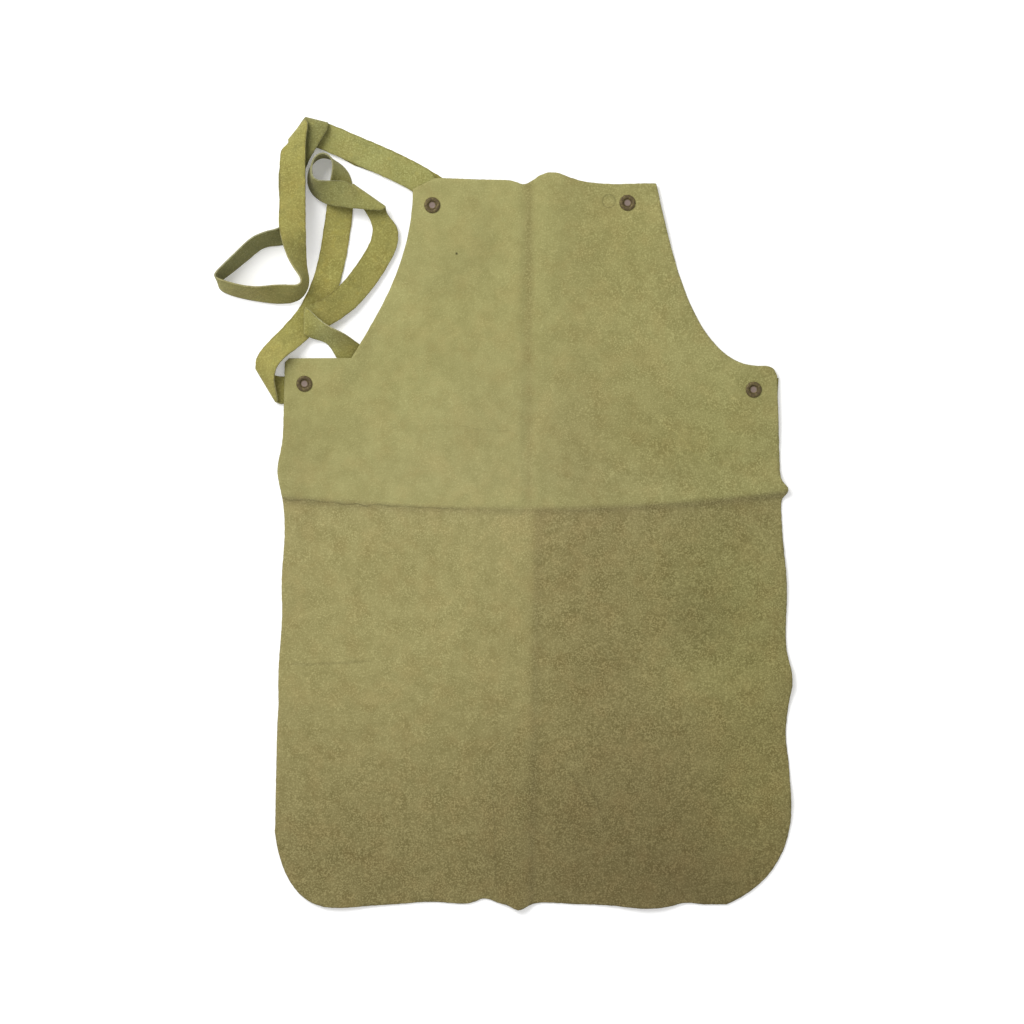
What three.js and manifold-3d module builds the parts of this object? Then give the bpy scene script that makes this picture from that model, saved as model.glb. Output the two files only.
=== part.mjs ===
// A leather welding apron laid flat on a table, its two straps bundled beside the bib.
// Millimetres: X runs across from the centre line, Y from the hem to the neck, Z up from the table.
import * as THREE from 'three';
import { mergeVertices } from 'three/addons/utils/BufferGeometryUtils.js';
import Module from 'manifold-3d';

const wasm = await Module();
wasm.setup();

// Leather
const LEATHER = 2;
const STRAP_WIDTH = 32;
const GAP = 0.3;

// Panel outline
const HEM_HALF_LEFT = 301.5;
const HEM_HALF_RIGHT = 311;
const WAIST_HALF_LEFT = 290;
const WAIST_HALF_RIGHT = 294;
const SKIRT_LOW = 110;
const WAIST_TOP_LEFT = 649;
const WAIST_TOP_RIGHT = 640;
const TOP_LEFT = { x: -138, y: 850, shoulder: 26, rise: 13 };
const TOP_RIGHT = { x: 151, y: 857 };
const HEM_CORNER_LEFT = { x: -240, y: 85, cornerX: -291, cornerY: 4 };
const HEM_CORNER_RIGHT = { x: 235, y: 105, cornerX: 305, cornerY: 30 };
const ARMHOLE_LEFT = { startX: -211, lowX: -172, lowY: 712, highX: -137, highY: 775 };
const ARMHOLE_RIGHT = { highX: 169, highY: 777, lowX: 195, lowY: 642, endX: 272 };
const WAIST_CORNER_LEFT = 5;
const WAIST_CORNER_RIGHT = 16;

// Ripples of each edge: where along it, how far they reach, how far they stand out, how high they lift
const EDGE_WAVES = {
  left: [
    { at: 516, reach: 26, out: 6, lift: 4 },
    { at: 440, reach: 45, out: -4, lift: 0 },
    { at: 340, reach: 40, out: -3, lift: 0 },
    { at: 240, reach: 22, out: -1, lift: 3 },
  ],
  right: [
    { at: 493, reach: 9, out: 9, lift: 0 },
    { at: 380, reach: 45, out: 4, lift: 2 },
    { at: 268, reach: 26, out: 7, lift: 6 },
    { at: 200, reach: 24, out: -3, lift: 0 },
    { at: 125, reach: 22, out: 1, lift: 3 },
  ],
  hem: [
    { at: -225, reach: 40, out: 4, lift: 3 },
    { at: -118, reach: 30, out: -3, lift: 0 },
    { at: -52, reach: 14, out: -7, lift: 0 },
    { at: -12, reach: 11, out: 7, lift: 2 },
    { at: 22, reach: 26, out: -2, lift: 0 },
    { at: 140, reach: 38, out: 5, lift: 4 },
    { at: 186, reach: 15, out: -3, lift: 0 },
  ],
  top: [
    { at: -4, reach: 12, out: -6, lift: 0 },
    { at: 28, reach: 24, out: 10, lift: 3 },
    { at: 100, reach: 30, out: -2, lift: 0 },
  ],
};
const RIPPLE_DEPTH = 34;
const EDGE_STEP = 12;

// Storage creases: a ridge across the waist and a ridge down the middle
const ACROSS = { y: 474, riseLeft: 14, riseRight: 20, steep: 9, gentle: 22 };
const ACROSS_HEIGHT = { middle: 2.6, left: 5, right: 7.5, reach: 300 };
const DOWN = { xHem: -8, xWaist: -2, xTop: 22, steep: 10, gentle: 24, height: 3.6 };
const PANEL_TOP = 870;

// Panel grid: an even pitch, with extra lines beside the creases, drawn towards where they run
const GRID_PITCH = 25;
const GRID_MARGIN = 30;
const CREASE_LINES = [-36, -18, -9, -4, 0, 5, 11, 19, 30];
const CREASE_CLEAR = 44;
const CREASE_DRAW = { x: 60, y: 70 };
const TOUCH = 0.02;

// Bulges where the panel lies over a strap: the strap's top surface at each end of a straight stretch
const BULGES = [
  { x1: -109, y1: 809, top1: 6.8, x2: -124, y2: 857, top2: 6.8 },
  { x1: -130, y1: 862, top1: 2.2, x2: -96, y2: 843, top2: 2.2 },
  { x1: -96, y1: 843, top1: 2.2, x2: -23, y2: 833, top2: 2.2 },
  { x1: -23, y1: 833, top1: 2.2, x2: 117, y2: 834, top2: 3.7 },
  { x1: 117, y1: 834, top1: 3.7, x2: 146, y2: 834, top2: 3.7 },
  { x1: -239, y1: 616, top1: 3.7, x2: -300, y2: 610, top2: 3.7 },
  { x1: -214, y1: 656, top1: 7, x2: -190, y2: 646, top2: 3 },
  { x1: -190, y1: 645, top1: 2.8, x2: 37, y2: 635, top2: 2.3 },
  { x1: 37, y1: 635, top1: 2.3, x2: 267, y2: 612, top2: 3.7 },
  { x1: 267, y1: 612, top1: 3.7, x2: 296, y2: 610, top2: 3.7 },
];
const BULGE_HALF = 30;
const BULGE_SHOULDER = 30;

// Strap routes. Each row is a section: the middle of the strap, the direction in degrees from there to
// its first edge, and how far that edge leans up. A row with foldTo is a fold across that direction,
// from height z to height foldTo.
const NECK_ROUTE = [
  { x: -109, y: 809, z: 5.2, across: 10, lean: 0 },
  { x: -115, y: 831, z: 5.2, across: 22, lean: 0 },
  { x: -124, y: 857, z: 5, across: 52, lean: 0 },
  { x: -148, y: 871, z: 4.2, across: 62, lean: 0 },
  { x: -167, y: 880, z: 4, across: 65, lean: 0 },
  { x: -211, y: 899.5, z: 4.6, across: 66, lean: 0 },
  { x: -239, y: 911.5, z: 5, across: 68, lean: 0 },
  { x: -258, y: 918, z: 5, across: 72, lean: 0 },
  { x: -277, y: 921, z: 5, foldTo: 19, across: 51 },
  { x: -280, y: 890, z: 21.5, across: 6, lean: 18 },
  { x: -280, y: 864, z: 24.5, across: 2, lean: 18 },
  { x: -280, y: 832, z: 28, across: 0, lean: 14 },
  { x: -280, y: 802, z: 31, across: -4, lean: 0 },
  { x: -277.5, y: 781, z: 30, across: -10, lean: -33 },
  { x: -272.5, y: 757, z: 26, across: -13, lean: -57 },
  { x: -264, y: 739, z: 21.5, across: -34, lean: -76 },
  { x: -271, y: 727, z: 18.8, across: -80, lean: -62 },
  { x: -294, y: 725, z: 15.5, across: -88, lean: -48 },
  { x: -322, y: 725, z: 15.5, across: -92, lean: -62 },
  { x: -346, y: 729, z: 16, across: -108, lean: -66 },
  { x: -369, y: 737, z: 17, across: -100, lean: -70 },
  { x: -374, y: 741, z: 17, across: -60, lean: -78 },
  { x: -366, y: 748, z: 16.6, across: -40, lean: -72 },
  { x: -342, y: 769, z: 15.9, across: -42, lean: -65 },
  { x: -320, y: 788, z: 15.6, across: -62, lean: -62 },
  { x: -304, y: 792, z: 15.2, across: -88, lean: -60 },
  { x: -288, y: 794, z: 13.6, across: -62, lean: -50 },
  { x: -280, y: 810, z: 11.5, across: -15, lean: -36 },
  { x: -281, y: 832, z: 11, across: 2, lean: -30 },
  { x: -283, y: 856, z: 10.5, across: -14, lean: -24 },
  { x: -281, y: 878, z: 11.5, across: -28, lean: 4 },
  { x: -269, y: 902, z: 12, across: -25, lean: 12 },
  { x: -252, y: 933, z: 12, foldTo: 1.6, across: -14 },
  { x: -217, y: 902, z: 1.2, across: 62, lean: 0 },
  { x: -167, y: 881, z: 1.2, across: 64, lean: 0 },
  { x: -130, y: 862, z: 1.2, across: 62, lean: 0 },
  { x: -96, y: 843, z: 1.2, across: 72, lean: 0 },
  { x: -23, y: 833, z: 1.2, across: 86, lean: 0 },
  { x: 117, y: 834, z: 2.7, across: 90, lean: 0 },
  { x: 146, y: 834, z: 2.7, across: 90, lean: 0 },
];
const WAIST_ROUTE = [
  { x: -239, y: 616, z: 2.7, across: 90, lean: 0 },
  { x: -279, y: 615, z: 2.7, across: 93, lean: 0 },
  { x: -298, y: 610, z: 1.4, across: 102, lean: 0 },
  { x: -313.5, y: 617, z: 1.2, foldTo: 9, across: 121 },
  { x: -315, y: 635, z: 12, across: 134, lean: -20 },
  { x: -306, y: 653, z: 12.5, across: 148, lean: -32 },
  { x: -293, y: 665, z: 10, across: 140, lean: -26 },
  { x: -275, y: 682, z: 5, across: 137, lean: -10 },
  { x: -259, y: 702, z: 2.2, across: 150, lean: 0 },
  { x: -246, y: 728, z: 1.6, across: 160, lean: 0 },
  { x: -237, y: 754, z: 1.8, across: 166, lean: 2 },
  { x: -230, y: 790, z: 2.8, across: 171, lean: 5 },
  { x: -225, y: 826, z: 5, across: 174, lean: 12 },
  { x: -223, y: 854, z: 10.4, across: 178, lean: 34 },
  { x: -224, y: 872, z: 14.4, across: 186, lean: 56 },
  { x: -231, y: 884, z: 16.8, across: 226, lean: 88 },
  { x: -243, y: 891.5, z: 17.3, across: 270, lean: 98 },
  { x: -254.5, y: 887, z: 17.3, across: 324, lean: 92 },
  { x: -260, y: 873, z: 17.3, across: 360, lean: 82 },
  { x: -260, y: 857, z: 17.5, across: 405, lean: 70 },
  { x: -250, y: 848, z: 19.5, across: 438, lean: 50 },
  { x: -232, y: 844, z: 23.5, across: 450, lean: 22 },
  { x: -213, y: 843, z: 22.5, across: 456, lean: 10 },
  { x: -189, y: 843, z: 20, foldTo: 8.5, across: 505 },
  { x: -171, y: 807, z: 6, across: 526, lean: 0 },
  { x: -171, y: 789, z: 5.5, across: 526, lean: 0 },
  { x: -180, y: 770, z: 5.5, across: 516, lean: 0 },
  { x: -200, y: 740, z: 6.5, across: 501, lean: 0 },
  { x: -226, y: 713, z: 9, across: 487, lean: 0 },
  { x: -267, y: 693, z: 9.5, foldTo: 15.5, across: 450 },
  { x: -251, y: 682, z: 17, across: 430, lean: 46 },
  { x: -238, y: 677, z: 16.2, across: 420, lean: 60 },
  { x: -226, y: 669, z: 12.6, across: 408, lean: 42 },
  { x: -215, y: 656, z: 4.4, across: 406, lean: 9 },
  { x: -203, y: 648, z: 1.7, across: 424, lean: 0 },
  { x: -188, y: 644, z: 1.3, across: 440, lean: 0 },
  { x: -150, y: 643, z: 1.2, across: 448, lean: 0 },
  { x: 37, y: 635, z: 1.2, across: 447, lean: 0 },
  { x: 267, y: 612, z: 2.7, across: 447, lean: 0 },
  { x: 296, y: 610, z: 2.7, across: 447, lean: 0 },
];
const STRAP_STEP = 8;
const FOLD_STEPS = 6;

// Rivets: a back head under the strap, a tubular shank, and a rolled ring with a dished middle
const RIVETS = [
  { name: 'rivet_bib_left', x: -115, y: 831, strapZ: 5.2 },
  { name: 'rivet_bib_right', x: 117, y: 834, strapZ: 2.7 },
  { name: 'rivet_waist_left', x: -267, y: 619, strapZ: 2.7 },
  { name: 'rivet_waist_right', x: 267, y: 612, strapZ: 2.7 },
];
const RIVET_RING = 9.5;
const RIVET_RING_HEIGHT = 2.2;
const RIVET_DISH = 4.4;
const RIVET_BACK = 8;
const RIVET_BACK_HEIGHT = 1.4;
const RIVET_SHANK = 3;
const RIVET_SEGMENTS = 20;

const lerp = THREE.MathUtils.lerp;
const bell = (distance, reach) => Math.exp(-((distance / reach) ** 2));
const smooth = THREE.MathUtils.smoothstep;

// Edges of the panel

function waves(edge, along) {
  return EDGE_WAVES[edge].reduce((sum, wave) => sum + wave.out * bell(along - wave.at, wave.reach), 0);
}

function sideShare(y) {
  return (y - SKIRT_LOW) / (WAIST_TOP_LEFT - SKIRT_LOW);
}

function leftEdge(y) {
  return -lerp(HEM_HALF_LEFT, WAIST_HALF_LEFT, sideShare(y)) - waves('left', y);
}

function rightEdge(y) {
  return lerp(HEM_HALF_RIGHT, WAIST_HALF_RIGHT, sideShare(y)) + waves('right', y);
}

function hemEdge(x) {
  return -waves('hem', x);
}

function topEdge(x) {
  const start = TOP_LEFT.x + TOP_LEFT.shoulder;
  const share = (x - start) / (TOP_RIGHT.x - start);
  return lerp(TOP_LEFT.y + TOP_LEFT.rise, TOP_RIGHT.y, share) + waves('top', x);
}

// A run of short lines along a wavy edge
function followEdge(path, from, to, pointAt) {
  const steps = Math.ceil(Math.abs(to - from) / EDGE_STEP);
  for (let i = 1; i <= steps; i++) {
    const point = pointAt(lerp(from, to, i / steps));
    path.lineTo(point.x, point.y);
  }
}

function panelOutline() {
  const shape = new THREE.Shape();
  const left = HEM_CORNER_LEFT;
  const right = HEM_CORNER_RIGHT;
  const hemPoint = (x) => ({ x, y: hemEdge(x) });
  const rightPoint = (y) => ({ x: rightEdge(y), y });
  const leftPoint = (y) => ({ x: leftEdge(y), y });
  const topPoint = (x) => ({ x, y: topEdge(x) });
  shape.moveTo(left.x, hemEdge(left.x));
  followEdge(shape, left.x, right.x, hemPoint);
  shape.quadraticCurveTo(right.cornerX, right.cornerY, rightEdge(right.y), right.y);
  const rightCornerY = WAIST_TOP_RIGHT - WAIST_CORNER_RIGHT;
  followEdge(shape, right.y, rightCornerY, rightPoint);
  const rightX = rightEdge(rightCornerY);
  shape.quadraticCurveTo(rightX, WAIST_TOP_RIGHT, rightX - WAIST_CORNER_RIGHT, WAIST_TOP_RIGHT);
  shape.lineTo(ARMHOLE_RIGHT.endX, WAIST_TOP_RIGHT);
  shape.bezierCurveTo(
    ARMHOLE_RIGHT.lowX, ARMHOLE_RIGHT.lowY,
    ARMHOLE_RIGHT.highX, ARMHOLE_RIGHT.highY,
    TOP_RIGHT.x, topEdge(TOP_RIGHT.x),
  );
  followEdge(shape, TOP_RIGHT.x, TOP_LEFT.x + TOP_LEFT.shoulder, topPoint);
  shape.lineTo(TOP_LEFT.x, TOP_LEFT.y);
  shape.bezierCurveTo(
    ARMHOLE_LEFT.highX, ARMHOLE_LEFT.highY,
    ARMHOLE_LEFT.lowX, ARMHOLE_LEFT.lowY,
    ARMHOLE_LEFT.startX, WAIST_TOP_LEFT,
  );
  const leftCornerY = WAIST_TOP_LEFT - WAIST_CORNER_LEFT;
  shape.lineTo(leftEdge(leftCornerY) + WAIST_CORNER_LEFT, WAIST_TOP_LEFT);
  shape.lineTo(leftEdge(leftCornerY), leftCornerY);
  followEdge(shape, leftCornerY, left.y, leftPoint);
  shape.quadraticCurveTo(left.cornerX, left.cornerY, left.x, hemEdge(left.x));
  return shape;
}

// Surface of the panel

function acrossCrest(x) {
  const share = x < 0 ? x / HEM_HALF_LEFT : x / HEM_HALF_RIGHT;
  return ACROSS.y + (x < 0 ? ACROSS.riseLeft : ACROSS.riseRight) * share ** 2;
}

function downCrest(y) {
  if (y < ACROSS.y) return lerp(DOWN.xHem, DOWN.xWaist, y / ACROSS.y);
  return lerp(DOWN.xWaist, DOWN.xTop, (y - ACROSS.y) / (PANEL_TOP - ACROSS.y));
}

function acrossRidge(x, y) {
  const offset = y - acrossCrest(x);
  const end = x < 0 ? ACROSS_HEIGHT.left : ACROSS_HEIGHT.right;
  const height = lerp(ACROSS_HEIGHT.middle, end, (x / ACROSS_HEIGHT.reach) ** 2);
  return height * bell(offset, offset < 0 ? ACROSS.steep : ACROSS.gentle);
}

function downRidge(x, y) {
  const offset = x - downCrest(y);
  const upper = smooth(y, ACROSS.y - 120, ACROSS.y + 120);
  const leftReach = lerp(DOWN.gentle, DOWN.steep, upper);
  const rightReach = lerp(DOWN.steep, DOWN.gentle, upper);
  return DOWN.height * bell(offset, offset < 0 ? leftReach : rightReach);
}

function edgeLift(edge, along, depth) {
  const inward = bell(Math.max(0, depth), RIPPLE_DEPTH);
  return EDGE_WAVES[edge].reduce((sum, wave) => sum + wave.lift * bell(along - wave.at, wave.reach) * inward, 0);
}

function bulgeLift(x, y) {
  let highest = 0;
  for (const { x1, y1, top1, x2, y2, top2 } of BULGES) {
    const start = new THREE.Vector2(x1, y1);
    const run = new THREE.Vector2(x2 - x1, y2 - y1);
    const share = THREE.MathUtils.clamp(new THREE.Vector2(x, y).sub(start).dot(run) / run.lengthSq(), 0, 1);
    const distance = start.addScaledVector(run, share).distanceTo(new THREE.Vector2(x, y));
    const fall = 1 - smooth(distance, BULGE_HALF, BULGE_HALF + BULGE_SHOULDER);
    highest = Math.max(highest, (lerp(top1, top2, share) + GAP) * fall);
  }
  return highest;
}

function underside(x, y) {
  const creases = acrossRidge(x, y) + downRidge(x, y);
  const sides = edgeLift('left', y, x - leftEdge(y)) + edgeLift('right', y, rightEdge(y) - x);
  const ends = edgeLift('hem', x, y - hemEdge(x)) + edgeLift('top', x, topEdge(x) - y);
  return Math.max(0, creases + sides + ends + bulgeLift(x, y) - TOUCH);
}

function gridLines(from, to, crease) {
  const count = Math.round((to - from) / GRID_PITCH);
  const even = Array.from({ length: count + 1 }, (_, i) => lerp(from, to, i / count));
  const clear = even.filter((line) => Math.abs(line - crease) > CREASE_CLEAR);
  return [...clear, ...CREASE_LINES.map((offset) => crease + offset)].sort((a, b) => a - b);
}

// A closed slab of leather over the whole grid, its lines drawn towards the creases
function leatherSlab() {
  const columns = gridLines(-HEM_HALF_LEFT - GRID_MARGIN, HEM_HALF_RIGHT + GRID_MARGIN, 0);
  const rows = gridLines(-GRID_MARGIN, PANEL_TOP + GRID_MARGIN, ACROSS.y);
  const positions = [];
  for (const thickness of [0, LEATHER]) {
    for (const row of rows) {
      for (const column of columns) {
        const x = column + downCrest(row) * bell(column, CREASE_DRAW.x);
        const y = row + (acrossCrest(x) - ACROSS.y) * bell(row - ACROSS.y, CREASE_DRAW.y);
        positions.push(x, y, underside(x, y) + thickness);
      }
    }
  }
  const width = columns.length;
  const layer = width * rows.length;
  const faces = [];
  const quad = (a, b, c, d) => faces.push(a, b, c, a, c, d);
  for (let j = 0; j + 1 < rows.length; j++) {
    for (let i = 0; i + 1 < width; i++) {
      const a = j * width + i;
      quad(a, a + width, a + width + 1, a + 1);
      quad(layer + a, layer + a + 1, layer + a + width + 1, layer + a + width);
    }
  }
  for (let i = 0; i + 1 < width; i++) {
    const far = (rows.length - 1) * width + i;
    quad(i, i + 1, layer + i + 1, layer + i);
    quad(far + 1, far, layer + far, layer + far + 1);
  }
  for (let j = 0; j + 1 < rows.length; j++) {
    const near = j * width;
    const far = near + width - 1;
    quad(near + width, near, layer + near, layer + near + width);
    quad(far, far + width, layer + far + width, layer + far);
  }
  return closedGeometry(positions, faces);
}

function closedGeometry(positions, faces) {
  const geometry = new THREE.BufferGeometry();
  geometry.setAttribute('position', new THREE.Float32BufferAttribute(positions, 3));
  geometry.setIndex(faces);
  return geometry;
}

// Booleans

function toManifold(geometry) {
  const plain = new THREE.BufferGeometry();
  plain.setAttribute('position', geometry.getAttribute('position'));
  plain.setIndex(geometry.getIndex());
  const merged = mergeVertices(plain, 1e-4);
  return new wasm.Manifold(new wasm.Mesh({
    numProp: 3,
    vertProperties: new Float32Array(merged.getAttribute('position').array),
    triVerts: new Uint32Array(merged.getIndex().array),
  }));
}

function toGeometry(solid) {
  const mesh = solid.getMesh();
  return closedGeometry(mesh.vertProperties, Array.from(mesh.triVerts));
}

function shankHole({ x, y }) {
  const hole = new THREE.CylinderGeometry(RIVET_SHANK + GAP, RIVET_SHANK + GAP, 60, RIVET_SEGMENTS);
  hole.rotateX(Math.PI / 2);
  hole.translate(x, y, 0);
  return toManifold(hole);
}

function pierced(solid, rivets) {
  return rivets.reduce((body, rivet) => body.subtract(shankHole(rivet)), solid);
}

function panelGeometry() {
  const cutter = new THREE.ExtrudeGeometry(panelOutline(), { depth: 60, bevelEnabled: false, curveSegments: 10 });
  cutter.translate(0, 0, -10);
  const panel = toManifold(leatherSlab()).intersect(toManifold(cutter));
  return toGeometry(pierced(panel, RIVETS));
}

// Straps

function acrossVector(across, lean) {
  const around = THREE.MathUtils.degToRad(across);
  const up = THREE.MathUtils.degToRad(lean);
  return new THREE.Vector3(Math.cos(up) * Math.cos(around), Math.cos(up) * Math.sin(around), Math.sin(up));
}

// The sections of a fold: half a turn about a crease, which is crossed at a slant
function foldSections(row, previous) {
  const crease = acrossVector(row.across, 0);
  const heading = new THREE.Vector3(row.x - previous.x, row.y - previous.y, 0).normalize();
  const slant = crease.dot(heading);
  const outward = heading.clone().addScaledVector(crease, -slant).normalize();
  const radius = Math.abs(row.foldTo - row.z) / 2;
  const middle = new THREE.Vector3(row.x, row.y, (row.z + row.foldTo) / 2).addScaledVector(outward, -radius);
  const sections = [];
  for (let i = 0; i <= FOLD_STEPS; i++) {
    const turn = Math.PI * (i / FOLD_STEPS - 0.5);
    const centre = middle.clone().addScaledVector(outward, radius * Math.cos(turn));
    centre.z += Math.sign(row.foldTo - row.z) * radius * Math.sin(turn);
    sections.push({ centre, across: crease, half: STRAP_WIDTH / 2 / Math.sqrt(1 - slant ** 2) });
  }
  return sections;
}

function strapSections(route) {
  const sections = [];
  for (const row of route) {
    if ('foldTo' in row) {
      sections.push(...foldSections(row, sections.at(-1).centre));
    } else {
      const centre = new THREE.Vector3(row.x, row.y, row.z);
      sections.push({ centre, across: acrossVector(row.across, row.lean), half: STRAP_WIDTH / 2 });
    }
  }
  return sections;
}

// A flat band swept through its sections
function strapGeometry(route) {
  const sections = strapSections(route);
  const centres = new THREE.CatmullRomCurve3(sections.map((section) => section.centre));
  const edges = sections.map(({ across, half }) => across.clone().multiplyScalar(half));
  const reaches = new THREE.CatmullRomCurve3(edges, false, 'catmullrom', 0.5);
  const stations = [0];
  for (let i = 0; i + 1 < sections.length; i++) {
    const steps = Math.max(1, Math.round(sections[i].centre.distanceTo(sections[i + 1].centre) / STRAP_STEP));
    for (let k = 1; k <= steps; k++) stations.push((i + k / steps) / (sections.length - 1));
  }
  const positions = [];
  const faces = [];
  const quad = (a, b, c, d) => faces.push(a, b, c, a, c, d);
  stations.forEach((station, i) => {
    const centre = centres.getPoint(station);
    const reach = reaches.getPoint(station);
    const normal = centres.getTangent(station).cross(reach).setLength(LEATHER / 2);
    for (const [side, face] of [[1, 1], [-1, 1], [-1, -1], [1, -1]]) {
      const corner = centre.clone().addScaledVector(reach, side).addScaledVector(normal, face);
      positions.push(corner.x, corner.y, corner.z);
    }
    if (i === 0) return;
    const now = i * 4;
    const before = now - 4;
    for (let k = 0; k < 4; k++) quad(before + k, before + (k + 1) % 4, now + (k + 1) % 4, now + k);
  });
  const last = (stations.length - 1) * 4;
  quad(0, 3, 2, 1);
  quad(last, last + 1, last + 2, last + 3);
  return closedGeometry(positions, faces);
}

function piercedStrap(route, rivets) {
  return toGeometry(pierced(toManifold(strapGeometry(route)), rivets));
}

// Rivets

// The highest point of the panel's underside below a ring
function seatHeight(x, y) {
  const turns = Array.from({ length: RIVET_SEGMENTS }, (_, i) => (i / RIVET_SEGMENTS) * 2 * Math.PI);
  return Math.max(...turns.map((turn) => underside(x + RIVET_RING * Math.cos(turn), y + RIVET_RING * Math.sin(turn))));
}

function rivetGeometry({ x, y, strapZ }) {
  const backTop = strapZ - LEATHER / 2 - GAP;
  const backLow = Math.max(0, backTop - RIVET_BACK_HEIGHT);
  const seat = seatHeight(x, y) + LEATHER + GAP;
  const crown = seat + RIVET_RING_HEIGHT;
  const ringMiddle = (RIVET_RING + RIVET_DISH) / 2;
  const profile = [
    [0, backLow],
    [RIVET_BACK, backLow],
    [RIVET_BACK, backTop],
    [RIVET_SHANK, backTop],
    [RIVET_SHANK, seat],
    [RIVET_RING - 0.6, seat],
    [RIVET_RING, seat + 0.6],
    [RIVET_RING - 0.7, crown - 0.5],
    [ringMiddle + 1, crown],
    [ringMiddle - 0.8, crown - 0.2],
    [RIVET_DISH, crown - 1.1],
    [RIVET_DISH - 1.2, crown - 1.5],
    [0, crown - 1.6],
  ].map(([radius, height]) => new THREE.Vector2(radius, height));
  const geometry = new THREE.LatheGeometry(profile, RIVET_SEGMENTS);
  geometry.rotateX(Math.PI / 2);
  return geometry;
}

// Assembly

const suede = new THREE.MeshStandardMaterial({ color: '#a09a60', roughness: 0.95, metalness: 0 });
const strapLeather = new THREE.MeshStandardMaterial({ color: '#a59b52', roughness: 0.9, metalness: 0 });
const agedBrass = new THREE.MeshStandardMaterial({ color: '#6b5a38', roughness: 0.5, metalness: 0.8 });

function named(name, geometry, material) {
  const mesh = new THREE.Mesh(geometry, material);
  mesh.name = name;
  return mesh;
}

const [bibLeft, bibRight, waistLeft, waistRight] = RIVETS;
const apron = new THREE.Group();
apron.add(named('apron_panel', panelGeometry(), suede));
apron.add(named('neck_strap', piercedStrap(NECK_ROUTE, [bibLeft, bibRight]), strapLeather));
apron.add(named('waist_strap', piercedStrap(WAIST_ROUTE, [waistLeft, waistRight]), strapLeather));
for (const rivet of RIVETS) {
  const mesh = named(rivet.name, rivetGeometry(rivet), agedBrass);
  mesh.position.set(rivet.x, rivet.y, 0);
  apron.add(mesh);
}

// The origin is the middle of the footprint, on the table
const footprint = new THREE.Box3().setFromObject(apron).getCenter(new THREE.Vector3());
apron.position.set(-footprint.x, -footprint.y, 0);

const part = new THREE.Group();
part.add(apron);

export default part;
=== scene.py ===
# %% [markdown]
# A leather welding apron, laid flat
#
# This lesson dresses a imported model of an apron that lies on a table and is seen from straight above. The
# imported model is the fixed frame: it says where each piece lies, and nothing in it is moved. The soft
# pieces are made again here as fine meshes in the same places, and then every surface gets its finish.

# %% Load the frame
import math
from collections import namedtuple

import bmesh
import bpy
from mathutils import Matrix, Vector, geometry, noise


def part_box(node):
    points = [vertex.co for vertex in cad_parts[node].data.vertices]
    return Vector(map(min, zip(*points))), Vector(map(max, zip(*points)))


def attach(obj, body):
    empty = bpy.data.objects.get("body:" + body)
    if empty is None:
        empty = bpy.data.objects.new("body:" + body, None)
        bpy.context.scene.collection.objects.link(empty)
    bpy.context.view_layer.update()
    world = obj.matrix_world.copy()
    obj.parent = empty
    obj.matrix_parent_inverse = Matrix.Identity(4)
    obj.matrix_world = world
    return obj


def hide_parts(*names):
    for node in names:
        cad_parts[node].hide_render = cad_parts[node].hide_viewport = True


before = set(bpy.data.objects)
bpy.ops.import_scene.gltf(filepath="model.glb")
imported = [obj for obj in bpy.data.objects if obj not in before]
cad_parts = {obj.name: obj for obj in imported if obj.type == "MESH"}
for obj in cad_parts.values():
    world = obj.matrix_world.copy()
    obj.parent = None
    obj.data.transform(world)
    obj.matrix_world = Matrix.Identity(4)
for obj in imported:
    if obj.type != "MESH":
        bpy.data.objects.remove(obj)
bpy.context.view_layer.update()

print("nodes:", sorted(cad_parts))

# %% [markdown]
# A maker's frame
#
# A pattern cutter measures an apron from its centre line and its hem, in millimetres, so the tables below
# do too. Blender works in metres about the frame's origin. One rivet that both know the place of gives the
# shift between them, so the same numbers fit whatever origin the frame has.

# %% Millimetres from the hem to metres in the frame
MM = 0.001
Rivet = namedtuple("Rivet", "node x y strap_z")
RIVETS = [
    Rivet("rivet_bib_left", -115, 831, 5.2),
    Rivet("rivet_bib_right", 117, 834, 2.7),
    Rivet("rivet_waist_left", -267, 619, 2.7),
    Rivet("rivet_waist_right", 267, 612, 2.7),
]


def middle_of(node):
    low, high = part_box(node)
    return (low + high) / 2


known = RIVETS[1]
shift = middle_of(known.node) - Vector((known.x, known.y, 0)) * MM
TO_FRAME = Matrix.Translation((shift.x, shift.y, 0)) @ Matrix.Scale(MM, 4)
print("centre line and hem are at", [round(1000 * v, 2) for v in TO_FRAME.translation[:2]], "mm in the frame")


def in_frame(x, y, z=0):
    return TO_FRAME @ Vector((x, y, z))


# %% Small helpers for shapes
def mix(a, b, share):
    return a + (b - a) * share


def bell(distance, reach):
    return math.exp(-((distance / reach) ** 2))


def smooth(value, low, high):
    share = min(1, max(0, (value - low) / (high - low)))
    return share * share * (3 - 2 * share)


def wobble(x, y, length):
    return noise.noise(Vector((x / length, y / length, length)))


# %% [markdown]
# The stage
#
# The apron is shown on a plain pale floor, from straight above, in soft light that comes from the upper
# left. A long lens keeps the view almost parallel, so the raised straps don't slide outwards from where
# they lie.

# %% Camera
VIEW_WIDTH = 1218.6
VIEW_MIDDLE = (-20.2, 466.5)
CAMERA_HEIGHT = 5000
SENSOR = 36
FARTHEST = 50

scene = bpy.context.scene
scene.view_settings.view_transform = "Standard"


def link(name, data):
    obj = bpy.data.objects.new(name, data)
    scene.collection.objects.link(obj)
    return obj


camera = link("camera", bpy.data.cameras.new("camera"))
camera.location = in_frame(*VIEW_MIDDLE, CAMERA_HEIGHT)
camera.data.sensor_width = SENSOR
camera.data.lens = SENSOR * CAMERA_HEIGHT / VIEW_WIDTH
camera.data.clip_end = FARTHEST
scene.camera = camera
print("lens", round(camera.data.lens, 1), "mm")

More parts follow.
